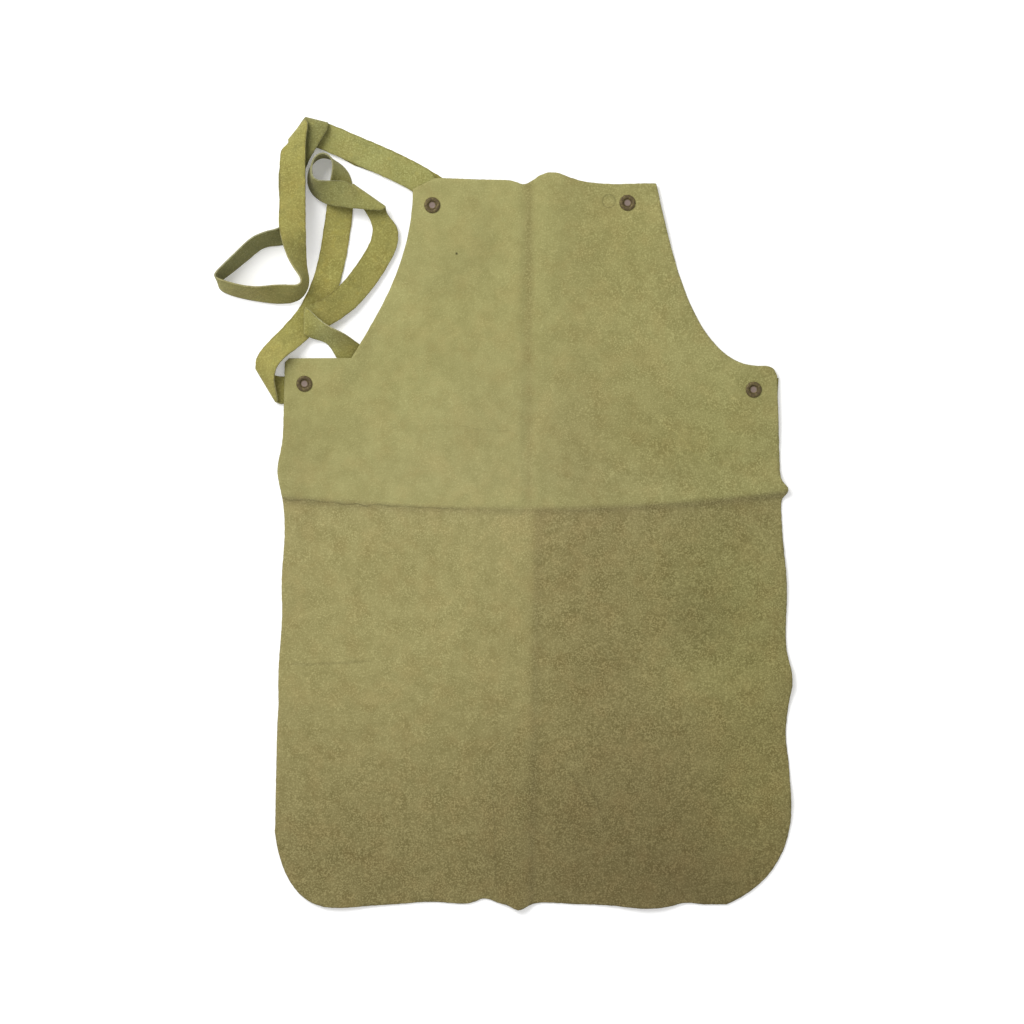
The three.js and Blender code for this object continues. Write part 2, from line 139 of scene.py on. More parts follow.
# %% Light and floor
LAMP_PLACE = Vector((-1.5, 1.7, 2.2))
LAMP_SIZE, LAMP_WATTS = 1.6, 76
SKY_STRENGTH = 0.7
FLOOR_HALF = 8

lamp = link("key_light", bpy.data.lights.new("key_light", "AREA"))
lamp.data.size = LAMP_SIZE
lamp.data.energy = LAMP_WATTS
lamp.location = LAMP_PLACE
lamp.rotation_euler = (-LAMP_PLACE).to_track_quat("-Z", "Y").to_euler()

world = bpy.data.worlds.new("studio")
world.use_nodes = True
sky = world.node_tree.nodes["Background"]
sky.inputs["Color"].default_value = (1, 1, 1, 1)
sky.inputs["Strength"].default_value = SKY_STRENGTH
scene.world = world

floor_mesh = bmesh.new()
bmesh.ops.create_grid(floor_mesh, x_segments=1, y_segments=1, size=FLOOR_HALF)
floor = link("floor", bpy.data.meshes.new("floor"))
floor_mesh.to_mesh(floor.data)
floor_mesh.free()
print("lamp", round(LAMP_PLACE.length, 2), "m away, floor", 2 * FLOOR_HALF, "m wide")

# %% [markdown]
# The shape of the panel
#
# The bib and skirt are one piece of split leather, cut with rounded hem corners and two hollow armholes.
# Its edges aren't straight: stored folded, the leather has taken ripples that push the edge out or in and
# lift it. The outline is worked out from a few sizes, and each ripple is a row of a table that both the
# outline and the surface read.

# %% Sizes of the outline
HEM_LEFT, HEM_RIGHT = 301.5, 311
WAIST_LEFT, WAIST_RIGHT = 290, 294
SKIRT_LOW = 110
WAIST_TOP_LEFT, WAIST_TOP_RIGHT = 649, 640
WAIST_CORNER_LEFT, WAIST_CORNER_RIGHT = 5, 16
TOP_LEFT = Vector((-138, 850))
TOP_SHOULDER = Vector((26, 13))
TOP_RIGHT = Vector((151, 857))
PANEL_TOP = 870
OUTLINE_STEP = 3

HemCorner = namedtuple("HemCorner", "x y tip")
HEM_CORNER_LEFT = HemCorner(-240, 85, Vector((-291, 4)))
HEM_CORNER_RIGHT = HemCorner(235, 105, Vector((305, 30)))
Armhole = namedtuple("Armhole", "waist_x low high")
ARMHOLE_LEFT = Armhole(-211, Vector((-172, 712)), Vector((-137, 775)))
ARMHOLE_RIGHT = Armhole(272, Vector((195, 642)), Vector((169, 777)))

Ripple = namedtuple("Ripple", "at reach out lift")
RIPPLES = {
    "left": [
        Ripple(516, 26, 6, 4),
        Ripple(440, 45, -4, 0),
        Ripple(340, 40, -3, 0),
        Ripple(240, 22, -1, 3),
    ],
    "right": [
        Ripple(493, 9, 9, 0),
        Ripple(380, 45, 4, 2),
        Ripple(268, 26, 7, 6),
        Ripple(200, 24, -3, 0),
        Ripple(125, 22, 1, 3),
    ],
    "hem": [
        Ripple(-225, 40, 4, 3),
        Ripple(-118, 30, -3, 0),
        Ripple(-52, 14, -7, 0),
        Ripple(-12, 11, 7, 2),
        Ripple(22, 26, -2, 0),
        Ripple(140, 38, 5, 4),
        Ripple(186, 15, -3, 0),
    ],
    "top": [
        Ripple(-4, 12, -6, 0),
        Ripple(28, 24, 10, 3),
        Ripple(100, 30, -2, 0),
    ],
}
RIPPLE_DEPTH = 34


# %% The four edges
def ripple_out(edge, along):
    return sum(r.out * bell(along - r.at, r.reach) for r in RIPPLES[edge])


def side_share(y):
    return (y - SKIRT_LOW) / (WAIST_TOP_LEFT - SKIRT_LOW)


def left_edge(y):
    return -mix(HEM_LEFT, WAIST_LEFT, side_share(y)) - ripple_out("left", y)


def right_edge(y):
    return mix(HEM_RIGHT, WAIST_RIGHT, side_share(y)) + ripple_out("right", y)


def hem_edge(x):
    return -ripple_out("hem", x)


def top_edge(x):
    start = TOP_LEFT + TOP_SHOULDER
    return mix(start.y, TOP_RIGHT.y, (x - start.x) / (TOP_RIGHT.x - start.x)) + ripple_out("top", x)


# %% Walk round the outline
def along(start, end, point_at):
    steps = math.ceil(abs(end - start) / OUTLINE_STEP)
    return [Vector(point_at(mix(start, end, i / steps))) for i in range(1, steps + 1)]


def arc(start, handle_1, handle_2, end):
    curve = geometry.interpolate_bezier(start, handle_1, handle_2, end, 40)
    return [Vector(point) for point in curve[1:]]


def corner(start, tip, end):
    return arc(start, start.lerp(tip, 2 / 3), end.lerp(tip, 2 / 3), end)


def outline_points():
    left, right = HEM_CORNER_LEFT, HEM_CORNER_RIGHT
    hem_start = Vector((left.x, hem_edge(left.x)))
    hem_end = Vector((right.x, hem_edge(right.x)))
    right_low = Vector((right_edge(right.y), right.y))
    right_high = WAIST_TOP_RIGHT - WAIST_CORNER_RIGHT
    right_x = right_edge(right_high)
    left_high = WAIST_TOP_LEFT - WAIST_CORNER_LEFT
    left_low = Vector((left_edge(left.y), left.y))
    armhole_right = Vector((ARMHOLE_RIGHT.waist_x, WAIST_TOP_RIGHT))
    armhole_left = Vector((ARMHOLE_LEFT.waist_x, WAIST_TOP_LEFT))
    bib_right = Vector((TOP_RIGHT.x, top_edge(TOP_RIGHT.x)))
    points = [hem_start]
    points += along(left.x, right.x, lambda x: (x, hem_edge(x)))
    points += corner(hem_end, right.tip, right_low)
    points += along(right.y, right_high, lambda y: (right_edge(y), y))
    points += corner(
        Vector((right_x, right_high)),
        Vector((right_x, WAIST_TOP_RIGHT)),
        Vector((right_x - WAIST_CORNER_RIGHT, WAIST_TOP_RIGHT)),
    )
    points.append(armhole_right)
    points += arc(armhole_right, ARMHOLE_RIGHT.low, ARMHOLE_RIGHT.high, bib_right)
    points += along(TOP_RIGHT.x, TOP_LEFT.x + TOP_SHOULDER.x, lambda x: (x, top_edge(x)))
    points.append(TOP_LEFT)
    points += arc(TOP_LEFT, ARMHOLE_LEFT.high, ARMHOLE_LEFT.low, armhole_left)
    points.append(Vector((left_edge(left_high) + WAIST_CORNER_LEFT, WAIST_TOP_LEFT)))
    points.append(Vector((left_edge(left_high), left_high)))
    points += along(left_high, left.y, lambda y: (left_edge(y), y))
    points += corner(left_low, left.tip, hem_start)[:-1]
    return points


# %% Cut the blank
FRAY, FRAY_LENGTH = 0.45, 5


def frayed(point):
    slip_x = wobble(point.x, point.y, FRAY_LENGTH)
    slip_y = wobble(point.y, point.x, FRAY_LENGTH)
    return point + FRAY * Vector((slip_x, slip_y))


blank = bmesh.new()
cut_edge = [blank.verts.new((*frayed(point), 0)) for point in outline_points()]
blank_area = blank.faces.new(cut_edge).calc_area() * MM * MM
print("blank:", len(cut_edge), "points on its edge,", round(blank_area, 3), "square metres")

# %% [markdown]
# A grid in the leather
#
# The blank is one flat face, and a single face can't bend. Subdividing would follow the ragged edge, and a
# remesh would blur it, so the face is sliced by many parallel planes instead, first one way and then the
# other. That keeps the edge as it was cut. The slices lie closer together along the two storage creases.

# %% Slice the blank
COARSE_STEP, FINE_STEP = 4.8, 2.2
BLANK_X, CREASE_BAND_X = (-330, 330), (-45, 62)
BLANK_Y, CREASE_BAND_Y = (-12, PANEL_TOP + 8), (448, 528)
SHEET_WELD = 0.05


def slice_lines(low, high, band):
    lines = []
    at = low
    while at < high:
        lines.append(at)
        at += FINE_STEP if band[0] < at < band[1] else COARSE_STEP
    return lines[1:]


def slice_face(bm, lines, axis):
    for line in lines:
        whole = bm.verts[:] + bm.edges[:] + bm.faces[:]
        bmesh.ops.bisect_plane(bm, geom=whole, plane_co=axis * line, plane_no=axis)


slice_face(blank, slice_lines(*BLANK_X, CREASE_BAND_X), Vector((1, 0, 0)))
slice_face(blank, slice_lines(*BLANK_Y, CREASE_BAND_Y), Vector((0, 1, 0)))
bmesh.ops.remove_doubles(blank, verts=blank.verts[:], dist=SHEET_WELD)
print("sliced into", len(blank.faces), "faces")

# %% [markdown]
# Thickness of the leather
#
# The leather is two millimetres thick. Extruding the whole sheet twice gives it a closed wall with a loop
# half way up its cut edge, which is pushed out a little so that the edge isn't knife sharp. The sheet half
# way up is inside the leather, so its faces are deleted again.

# %% Extrude to leather
LEATHER = 2
EDGE_ROUND = 0.35
HALF_WAY = 0.5


def extruded(bm, faces, keep):
    made = bmesh.ops.extrude_face_region(bm, geom=faces, use_keep_orig=keep)["geom"]
    return [item for item in made if isinstance(item, bmesh.types.BMFace)]


level = blank.verts.layers.float.new("level")
tint_of = blank.verts.layers.float_color.new("tint")
upper = blank.faces[:]
for height, keep in ((HALF_WAY, True), (1.0, False)):
    upper = extruded(blank, upper, keep)
    for vert in {vert for face in upper for vert in face.verts}:
        vert[level] = height
        vert.co.z = height * LEATHER
inside = [face for face in blank.faces if all(vert[level] == HALF_WAY for vert in face.verts)]
bmesh.ops.delete(blank, geom=inside, context="FACES")
bmesh.ops.recalc_face_normals(blank, faces=blank.faces[:])
blank.normal_update()
for vert in blank.verts:
    if vert[level] == HALF_WAY:
        outward = Vector((vert.normal.x, vert.normal.y, 0))
        vert.co += outward * EDGE_ROUND
print("leather wall:", len(blank.verts), "points")

# %% [markdown]
# How the leather lies
#
# Stored folded in four, the apron has a crease across the waist. The crease down the middle stands up as a
# ridge below the waist. On the bib it is a low roll with a furrow beside it. Sculpting them would be hard
# to repeat, so each is a bell curve across its line, with a steep side and a gentle one. Each point of the
# sheet is then lifted: over the creases, along the rippled edges, and where a strap runs beneath the panel.

# %% Creases
ACROSS_Y = 474
ACROSS_RISE_LEFT, ACROSS_RISE_RIGHT = 14, 20
ACROSS_STEEP, ACROSS_GENTLE = 7, 20
ACROSS_MIDDLE, ACROSS_LEFT, ACROSS_RIGHT, ACROSS_REACH = 2.6, 5, 6.5, 300
DOWN_HEM, DOWN_WAIST, DOWN_TOP = -4, 4, 22
RIDGE_STEEP, RIDGE_GENTLE, RIDGE_HEIGHT = 9, 26, 3.2
ROLL_GENTLE, ROLL_HEIGHT = 34, 2.6
TURNOVER = 60
FURROW_X, FURROW_REACH, FURROW_DEPTH = -3.5, 6, 1.8


def across_crest(x):
    if x < 0:
        return ACROSS_Y + ACROSS_RISE_LEFT * (x / HEM_LEFT) ** 2
    return ACROSS_Y + ACROSS_RISE_RIGHT * (x / HEM_RIGHT) ** 2


def across_ridge(x, y):
    offset = y - across_crest(x)
    end = ACROSS_LEFT if x < 0 else ACROSS_RIGHT
    height = mix(ACROSS_MIDDLE, end, (x / ACROSS_REACH) ** 2)
    return height * bell(offset, ACROSS_STEEP if offset < 0 else ACROSS_GENTLE)


def down_crest(y):
    if y < ACROSS_Y:
        return mix(DOWN_HEM, DOWN_WAIST, y / ACROSS_Y)
    return mix(DOWN_WAIST, DOWN_TOP, (y - ACROSS_Y) / (PANEL_TOP - ACROSS_Y))


def down_ridge(x, y):
    upper = smooth(y - ACROSS_Y, -TURNOVER, TURNOVER)
    offset = x - down_crest(y)
    left = mix(RIDGE_GENTLE, ROLL_GENTLE, upper)
    right = mix(RIDGE_STEEP, RIDGE_GENTLE, upper)
    ridge = mix(RIDGE_HEIGHT, ROLL_HEIGHT, upper) * bell(offset, left if offset < 0 else right)
    furrow = upper * FURROW_DEPTH * bell(x - FURROW_X, FURROW_REACH)
    return max(0, ridge - furrow)


# %% Edge ripples and hidden straps
Bulge = namedtuple("Bulge", "x1 y1 top1 x2 y2 top2")
BULGES = [
    Bulge(-109, 809, 6.8, -124, 857, 6.8),
    Bulge(-130, 862, 2.2, -96, 843, 2.2),
    Bulge(-96, 843, 2.2, -23, 833, 2.2),
    Bulge(-23, 833, 2.2, 117, 834, 3.7),
    Bulge(117, 834, 3.7, 146, 834, 3.7),
    Bulge(-239, 616, 3.7, -300, 610, 3.7),
    Bulge(-214, 656, 7, -190, 646, 3),
    Bulge(-190, 645, 2.8, 37, 635, 2.3),
    Bulge(37, 635, 2.3, 267, 612, 3.7),
    Bulge(267, 612, 3.7, 296, 610, 3.7),
]
BULGE_HALF, BULGE_SHOULDER = 26, 68
CLEAR = 0.3


def edge_lift(edge, along_edge, depth):
    inward = bell(max(0, depth), RIPPLE_DEPTH)
    return sum(r.lift * bell(along_edge - r.at, r.reach) for r in RIPPLES[edge]) * inward


def strap_lift(x, y):
    highest = 0
    point = Vector((x, y))
    for bulge in BULGES:
        start, end = Vector((bulge.x1, bulge.y1)), Vector((bulge.x2, bulge.y2))
        share = geometry.intersect_point_line(point, start, end)[1]
        share = min(1, max(0, share))
        distance = (start.lerp(end, share) - point).length
        fall = 1 - smooth(distance, BULGE_HALF, BULGE_HALF + BULGE_SHOULDER)
        highest = max(highest, (mix(bulge.top1, bulge.top2, share) + CLEAR) * fall)
    return highest


# %% Lay the panel down
SAG = 0.8
SAG_LONG, SAG_SHORT = 75, 28
PINNED_REACH = 26


def sag(x, y):
    near_rivet = max(bell(math.hypot(x - r.x, y - r.y), PINNED_REACH) for r in RIVETS)
    rise = 0.5 + 0.5 * wobble(x, y, SAG_LONG) + 0.3 * wobble(x, y, SAG_SHORT)
    return SAG * max(0, rise) * (1 - near_rivet)


def lie(x, y):
    creases = across_ridge(x, y) + down_ridge(x, y)
    sides = edge_lift("left", y, x - left_edge(y)) + edge_lift("right", y, right_edge(y) - x)
    ends = edge_lift("hem", x, y - hem_edge(x)) + edge_lift("top", x, top_edge(x) - y)
    return creases + sides + ends + strap_lift(x, y) + sag(x, y)


for vert in blank.verts:
    vert.co.z = vert[level] * LEATHER + lie(vert.co.x, vert.co.y)
print("panel rises to", round(max(vert.co.z for vert in blank.verts), 1), "mm")

# %% [markdown]
# Tone of the hide
#
# Suede is never one colour. Where the nap is brushed another way, where the folded apron lay outside or
# inside, and where it was handled, the same dye looks lighter or deeper. The tone also holds painted shade:
# dark lines along the creases, and a deeper hem and right-hand quarters, which are partly the hide's own
# tone and partly painted shade where those parts of the folded leather turn away from the light. An image
# would fix these patches to one size of picture, and noise would put them anywhere. They are broad and
# soft, so each is a row of a table: a bell curve that makes the tone lighter or deeper, greener, or duller.
# The result is worked out at the mesh's points and kept in a colour attribute: the deeper the tone, the
# browner. Its fourth number says how open the nap is, which is rougher below the waist, and the fine grain
# itself is left to the material.

# %% Patches of tone
Patch = namedtuple("Patch", "x y reach_x reach_y amount")
# Most rows are the hide's own tone. The narrow row along the bib furrow (x -1, y 800) is painted shade, and
# the rows at y 448, 469 and 502 are painted light and shade about the waist crease: darker above it on the
# right, lighter below it and across the middle of its painted line.
PATCHES = [
    Patch(-20, 500, 120, 60, 0.03),
    Patch(-130, 600, 55, 45, 0.06),
    Patch(-280, 480, 34, 190, -0.06),
    Patch(120, 630, 90, 60, 0.05),
    Patch(205, 338, 48, 50, -0.09),
    Patch(-1, 800, 8, 100, -0.08),
    Patch(45, 550, 34, 60, -0.05),
    Patch(165, 555, 45, 50, -0.03),
    Patch(95, 290, 45, 60, -0.03),
    Patch(195, 266, 60, 36, 0.09),
    Patch(255, 120, 50, 60, 0.06),
    Patch(-35, 150, 40, 230, -0.045),
    Patch(190, 20, 90, 40, -0.06),
    Patch(-280, 100, 60, 100, 0.02),
    Patch(35, 205, 45, 115, 0.045),
    Patch(155, 800, 36, 85, 0.04),
    Patch(294, 120, 26, 90, 0.06),
    Patch(-15, 672, 55, 60, -0.03),
    Patch(-275, 510, 45, 36, -0.035),
    Patch(230, 502, 85, 22, -0.04),
    Patch(0, 448, 190, 20, 0.025),
    Patch(25, 469, 75, 5, 0.04),
]
GREENS = [
    Patch(235, 370, 100, 120, 0.06),
    Patch(240, 600, 60, 90, 0.02),
    Patch(270, 150, 70, 200, 0.025),
    Patch(40, 560, 130, 100, -0.02),
    Patch(-120, 520, 150, 70, -0.015),
]
DULLS = [
    Patch(0, 495, 330, 45, 0.05),
    Patch(-60, 590, 120, 60, 0.03),
    Patch(270, 180, 70, 180, -0.06),
    Patch(115, 790, 60, 90, -0.045),
    Patch(165, 550, 90, 40, -0.045),
]


def patchwork(patches, x, y):
    total = 0
    for patch in patches:
        distance = math.hypot((x - patch.x) / patch.reach_x, (y - patch.y) / patch.reach_y)
        total += patch.amount * bell(distance, 1)
    return total


print(len(PATCHES), "patches of tone,", len(GREENS), "of green and", len(DULLS), "of dullness")

# %% Tone and painted shade of the four quarters, and painted shade along the creases
BASE_TONE = 0.955
# HEM_DARK, UPPER_RIGHT and LOWER_RIGHT deepen the hem band and the right-hand quarters: partly the hide's own
# tone, partly painted shade where the folded quarters turn away from the light.
HEM_DARK, HEM_BAND = 0.27, (20, 330)
UPPER_RIGHT, UPPER_TURN = 0.09, (20, 70)
LOWER_RIGHT, LOWER_STEP, LOWER_SLOPE = 0.225, (-10, 16), (-80, 70)
STEP_SHARE, HEM_EVENS = 0.4, 0.37
WAIST_TURN = (-8, 2)
# Painted shade: dark lines along the waist crease, beside the bib furrow and beside the skirt ridge.
WAIST_SHADE_LEFT, WAIST_SHADE_RIGHT, WAIST_SHADE_TURN = 0.06, 0.02, (-20, 40)
WAIST_SHADE_AT, WAIST_SHADE_REACH = 6, 3.4
FURROW_SHADE, FURROW_SHADE_AT = 0.12, 3.5
RIDGE_SHADE, RIDGE_SHADE_AT = 0.01, 6
DOWN_SHADE_REACH = 5


def lower_half(x, y):
    return 1 - smooth(y - across_crest(x), *WAIST_TURN)


def painted_crease_shade(x, y, lower):
    waist = mix(WAIST_SHADE_LEFT, WAIST_SHADE_RIGHT, smooth(x, *WAIST_SHADE_TURN))
    waist *= bell(across_crest(x) - y - WAIST_SHADE_AT, WAIST_SHADE_REACH)
    furrow = FURROW_SHADE * bell(x - FURROW_X - FURROW_SHADE_AT, DOWN_SHADE_REACH)
    ridge = RIDGE_SHADE * bell(x - down_crest(y) - RIDGE_SHADE_AT, DOWN_SHADE_REACH)
    return waist + mix(furrow, ridge, lower)


def tone_and_shade_at(x, y):
    lower = lower_half(x, y)
    hem = 1 - smooth(y, *HEM_BAND)
    past_ridge = x - down_crest(y)
    turn = mix(smooth(past_ridge, *LOWER_SLOPE), smooth(past_ridge, *LOWER_STEP), STEP_SHARE * (1 - hem))
    upper_right = UPPER_RIGHT * smooth(x, *UPPER_TURN)
    lower_right = LOWER_RIGHT * turn * (1 - HEM_EVENS * hem)
    tone = BASE_TONE - HEM_DARK * hem - mix(upper_right, lower_right, lower)
    return tone - painted_crease_shade(x, y, lower) + patchwork(PATCHES, x, y)


# %% Tint of each point
LOWER_BROWN, DEEP_BROWN, DEEP_DULL = 0.04, 0.2, 0.25
NAP_LEFT, NAP_BELOW, NAP_RIGHT, NAP_DEEP = 0.4, 0.75, 0.85, 1.5
NAP_TURN, DEEP_BAND = (-60, 160), (0.05, 0.3)


def tint_at(x, y):
    tone = tone_and_shade_at(x, y)
    lower = lower_half(x, y)
    depth = BASE_TONE - tone
    green = tone * (1 - LOWER_BROWN * lower - DEEP_BROWN * depth + patchwork(GREENS, x, y))
    blue = tone * (1 - DEEP_DULL * depth + patchwork(DULLS, x, y))
    openness = mix(mix(NAP_LEFT, NAP_BELOW, lower), NAP_RIGHT, smooth(x, *NAP_TURN))
    openness = mix(openness, NAP_DEEP, smooth(depth, *DEEP_BAND))
    return tone, green, blue, openness


for vert in blank.verts:
    vert[tint_of] = tint_at(vert.co.x, vert.co.y)
print("tinted", len(blank.verts), "points")


# %% Finish the panel's mesh
def finished(name, bm):
    bmesh.ops.transform(bm, matrix=TO_FRAME, verts=bm.verts[:])
    mesh = bpy.data.meshes.new(name)
    bm.to_mesh(mesh)
    bm.free()
    mesh.shade_smooth()
    obj = link(name, mesh)
    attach(obj, "root")
    return obj


RIM_MATERIAL = 1
for face in blank.faces:
    levels = {vert[level] for vert in face.verts}
    face.material_index = RIM_MATERIAL if HALF_WAY in levels else 0
panel = finished("panel_suede", blank)
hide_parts("apron_panel")
print(panel.name, "has", len(panel.data.polygons), "faces")

# %% [markdown]
# The straps
#
# Each strap is a long flat strip cut from the same hide. On the real apron it is simply thrown down: it
# bends, leans on its edge and turns back on itself. A cloth simulation would give some heap, but not this
# one, so the strip is laid as listed: a row of the table for each place where it turns, with the middle of
# the strap, the direction to its first edge and how far that edge leans up. A row with fold_to is a fold
# through half a turn, from height z to height fold_to. One side of the strap took the dye yellow and the
# other stayed dull, so a row also says how deep its tone is and how much of the dull side shows.

# %% Routes
Section = namedtuple("Section", "x y z across lean fold_to tone dull", defaults=(0, None, 1, 0))
# The tone column is partly the strap's own tone and partly painted light and shade: rows below 1 darken parts
# in shadow under other straps or turned away from the light, such as the loop's upper limb, the flap beneath
# the top fold and the waist strap's standing loop, and rows above 1 brighten parts that face the light.
NECK_ROUTE = [
    Section(-109, 809, 5.2, 10, dull=1),
    Section(-115, 831, 5.2, 22, dull=1),
    Section(-124, 857, 5, 52, tone=1.12, dull=1),
    Section(-148, 871, 4.2, 62, tone=1.12, dull=1),
    Section(-167, 880, 4, 65, tone=1.12, dull=1),
    Section(-211, 899.5, 4.6, 66, tone=1.12, dull=1),
    Section(-239, 911.5, 5, 68, tone=1.12, dull=1),
    Section(-258, 918, 5, 72, tone=1.05, dull=0.8),
    Section(-277, 921, 5, 51, fold_to=19, dull=0.2),
    Section(-279.5, 905, 20.3, 24, 12),
    Section(-280, 890, 21.5, 6, 18),
    Section(-280, 864, 24.5, 2, 18),
    Section(-280, 832, 28, 0, 14),
    Section(-280, 802, 31, -4),
    Section(-277.5, 781, 30, -10, -33),
    Section(-272.5, 757, 26, -13, -57, tone=1.15),
    Section(-264, 739, 21.5, -34, -76, tone=1.1),
    Section(-271, 727, 18.8, -80, -62, tone=0.96),
    Section(-294, 725, 15.5, -88, -48, tone=0.9),
    Section(-322, 725, 15.5, -92, -62, tone=0.9),
    Section(-346, 729, 16, -108, -66, tone=0.9),
    Section(-369, 737, 17, -100, -70, tone=1),
    Section(-374, 741, 17, -60, -78, tone=0.8, dull=1.1),
    Section(-366, 748, 16.6, -40, -72, tone=0.8, dull=1.1),
    Section(-342, 769, 15.9, -42, -65, tone=0.8, dull=1.1),
    Section(-320, 788, 15.6, -62, -62, tone=0.8, dull=1.1),
    Section(-304, 792, 15.2, -88, -60, tone=0.8, dull=1.1),
    Section(-288, 794, 13.6, -62, -50, tone=0.8, dull=1.1),
    Section(-280, 810, 11.5, -15, -36, tone=0.8, dull=1),
    Section(-281, 832, 11, 2, -30, tone=0.8, dull=1),
    Section(-283, 856, 10.5, -14, -24, tone=0.8, dull=1),
    Section(-281, 878, 11.5, -28, 4, tone=0.7, dull=1.3),
    Section(-269, 902, 12, -25, 12, tone=0.72, dull=1.3),
    Section(-252, 933, 12, -14, fold_to=1.6, tone=0.78, dull=1.2),
    Section(-217, 902, 1.2, 62, tone=0.95),
    Section(-167, 881, 1.2, 64),
    Section(-130, 862, 1.2, 62),
    Section(-96, 843, 1.2, 72),
    Section(-23, 833, 1.2, 86),
    Section(117, 834, 2.7, 90),
    Section(146, 834, 2.7, 90),
]
WAIST_ROUTE = [
    Section(-239, 616, 2.7, 90),
    Section(-279, 615, 2.7, 93),
    Section(-298, 610, 1.4, 102),
    Section(-313.5, 617, 1.2, 121, fold_to=9),
    Section(-315, 635, 12, 134, -20),
    Section(-306, 653, 12.5, 148, -32),
    Section(-293, 665, 10, 140, -26),
    Section(-275, 682, 5, 137, -10),
    Section(-259, 702, 2.2, 150, tone=1.08),
    Section(-246, 728, 1.6, 160, tone=1.1),
    Section(-237, 754, 1.8, 166, 2, tone=1.1),
    Section(-230, 790, 2.8, 171, 5, tone=1.1),
    Section(-225, 826, 5, 174, 12, tone=1.05),
    Section(-223, 854, 10.4, 178, 34),
    Section(-224, 872, 14.4, 186, 56, tone=0.95, dull=0.8),
    Section(-231, 884, 16.8, 226, 88, tone=0.9, dull=0.8),
    Section(-243, 891.5, 17.3, 270, 98, tone=0.9, dull=0.8),
    Section(-254.5, 887, 17.3, 324, 92, tone=0.9, dull=0.8),
    Section(-260, 873, 17.3, 360, 82, tone=0.9, dull=0.8),
    Section(-260, 857, 17.5, 405, 70, tone=0.9, dull=0.8),
    Section(-250, 848, 19.5, 438, 50, tone=0.84, dull=1),
    Section(-232, 844, 23.5, 450, 22, tone=0.86, dull=1),
    Section(-213, 843, 22.5, 456, 10, tone=0.88, dull=1),
    Section(-189, 843, 20, 505, fold_to=8.5, dull=0.5),
    Section(-171, 807, 6, 526),
    Section(-171, 789, 5.5, 526),
    Section(-180, 770, 5.5, 516),
    Section(-200, 740, 6.5, 501, tone=0.92),
    Section(-226, 713, 9, 487, tone=0.9),
    Section(-267, 693, 9.5, 450, fold_to=15.5, dull=0.4),
    Section(-251, 682, 17, 430, 46, tone=1.15, dull=0.8),
    Section(-238, 677, 16.2, 420, 60, tone=1.15, dull=0.8),
    Section(-226, 669, 12.6, 408, 42, tone=1.1, dull=0.8),
    Section(-215, 656, 4.4, 406, 9),
    Section(-203, 648, 1.7, 424),
    Section(-188, 644, 1.3, 440),
    Section(-150, 643, 1.2, 448),
    Section(37, 635, 1.2, 447),
    Section(267, 612, 2.7, 447),
    Section(296, 610, 2.7, 447),
]
print(len(NECK_ROUTE), "rows for the neck strap,", len(WAIST_ROUTE), "for the waist strap")

# %% [markdown]
# From rows to a smooth band
#
# Between the rows the strap follows a spline. The middle line uses a centripetal Catmull-Rom spline, which
# doesn't overshoot where rows lie close together, and the half width, a vector from the middle to the first
# edge, uses an even one. A fold becomes a few sections round a half circle about its crease, a little
# narrower at the crease itself, because leather doesn't fold to sharp tips.

# %% Sections of a fold
STRAP_WIDTH = 32
FOLD_STEPS = 6
FOLD_ROUND = 0.22
Rung = namedtuple("Rung", "centre reach tone dull")


def across_vector(across, lean):
    around, up = math.radians(across), math.radians(lean)
    return Vector((math.cos(up) * math.cos(around), math.cos(up) * math.sin(around), math.sin(up)))


def fold_rungs(row, before):
    crease = across_vector(row.across, 0)
    heading = Vector((row.x - before.x, row.y - before.y, 0)).normalized()
    slant = crease.dot(heading)
    outward = (heading - slant * crease).normalized()
    radius = abs(row.fold_to - row.z) / 2
    middle = Vector((row.x, row.y, (row.z + row.fold_to) / 2)) - outward * radius
    half = STRAP_WIDTH / 2 / math.sqrt(1 - slant * slant)
    rungs = []
    for step in range(FOLD_STEPS + 1):
        turn = math.pi * (step / FOLD_STEPS - 0.5)
        rise = math.copysign(radius * math.sin(turn), (row.fold_to - row.z) * turn) if turn else 0
        centre = middle + outward * radius * math.cos(turn) + Vector((0, 0, rise))
        rungs.append(Rung(centre, crease * half * (1 - FOLD_ROUND * math.cos(turn)), row.tone, row.dull))
    return rungs


def rungs_of(route):
    rungs = []
    for row in route:
        if row.fold_to is None:
            reach = across_vector(row.across, row.lean) * STRAP_WIDTH / 2
            rungs.append(Rung(Vector((row.x, row.y, row.z)), reach, row.tone, row.dull))
        else:
            rungs += fold_rungs(row, rungs[-1].centre)
    return rungs


# %% Splines through the sections
def four_around(values, i):
    before = values[i - 1] if i else values[0] * 2 - values[1]
    after = values[i + 2] if i + 2 < len(values) else values[-1] * 2 - values[-2]
    return before, values[i], values[i + 1], after


def hermite(start, end, leave, arrive, t):
    bend = -3 * start + 3 * end - 2 * leave - arrive
    twist = 2 * start - 2 * end + leave + arrive
    return start + leave * t + bend * t ** 2 + twist * t ** 3


def centripetal(values, i, t):
    a, b, c, d = four_around(values, i)
    t0, t1, t2 = ((q - p).length ** 0.5 for p, q in ((a, b), (b, c), (c, d)))
    leave = ((b - a) / t0 - (c - a) / (t0 + t1) + (c - b) / t1) * t1
    arrive = ((c - b) / t1 - (d - b) / (t1 + t2) + (d - c) / t2) * t1
    return hermite(b, c, leave, arrive, t)


def even(values, i, t):
    a, b, c, d = four_around(values, i)
    return hermite(b, c, (c - a) / 2, (d - b) / 2, t)


